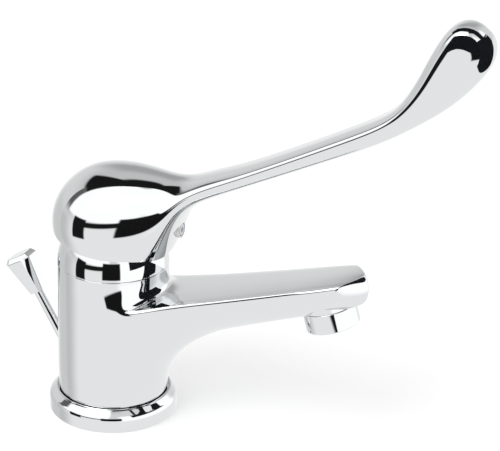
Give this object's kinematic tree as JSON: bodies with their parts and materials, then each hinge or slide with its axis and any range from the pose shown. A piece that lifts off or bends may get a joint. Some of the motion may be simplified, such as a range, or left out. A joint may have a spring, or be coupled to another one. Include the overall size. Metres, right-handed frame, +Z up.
{
  "type": "elbow lever basin mixer tap",
  "caption": "Single lever basin mixer tap with a long clinic elbow lever, a fixed spout with an aerator and a pop-up waste lift rod, all polished chrome.",
  "frame": {"origin": "middle of the base on the deck it stands on", "axes": "+Z up, +X along the spout and the lever, +Y to the cold side"},
  "size_m": [0.2093, 0.056, 0.1965],
  "materials": {
    "chrome_body": "polished chrome plate on cast brass",
    "chrome_handle": "polished chrome plate on zinc",
    "nut_brass": "machined",
    "stainless": "machined",
    "white_acetal": "moulded",
    "grey_acetal": "moulded",
    "alumina": "lapped",
    "black_rubber": "moulded",
    "index_grey": "gloss",
    "index_red": "gloss",
    "index_blue": "gloss"
  },
  "bodies": {
    "tap_body": {"base_ring": "chrome_body", "base_gasket": "black_rubber", "body_spout": "chrome_body", "aerator_collar": "chrome_body", "aerator_insert": "white_acetal", "aerator_screen": "stainless", "aerator_washer": "black_rubber", "cartridge_seals": "black_rubber", "cartridge_base": "white_acetal", "ceramic_disc_fixed": "alumina", "cartridge_housing": "white_acetal", "retaining_nut": "nut_brass", "cover_o_ring": "black_rubber", "cover_ring": "chrome_body", "rod_guide_bush": "white_acetal"},
    "guide": {"stem_guide": "grey_acetal", "pivot_pin": "stainless", "guide_o_ring": "black_rubber"},
    "lever": {"lever_handle": "chrome_handle", "lever_stem": "stainless", "grub_screw": "stainless", "indicator_plug": "index_grey", "hot_mark": "index_red", "cold_mark": "index_blue"},
    "slider": {"ceramic_disc_moving": "alumina", "disc_carrier": "grey_acetal"},
    "waste_rod": {"lift_rod": "chrome_body", "lift_knob": "chrome_handle"}
  },
  "joints": [
    {"name": "temperature_turn", "type": "hinge", "parent": "tap_body", "child": "guide", "pos_m": [0, 0, 0.0684], "axis": [0, 0, 1], "range_deg": [-45, 45]},
    {"name": "lever_lift", "type": "hinge", "parent": "guide", "child": "lever", "pos_m": [0, 0, 0.0684], "axis": [0, -1, 0], "range_deg": [0, 20]},
    {"name": "disc_slide", "type": "slide", "parent": "guide", "child": "slider", "axis": [1, 0, 0], "range_m": [0, 0.00398]},
    {"name": "rod_lift", "type": "slide", "parent": "tap_body", "child": "waste_rod", "axis": [-0.4924, 0, 0.8704], "range_m": [-0.018, 0]}
  ],
  "couplings": [
    {"joint": "disc_slide", "follows": "lever_lift", "m_per_rad": 0.0114}
  ]
}
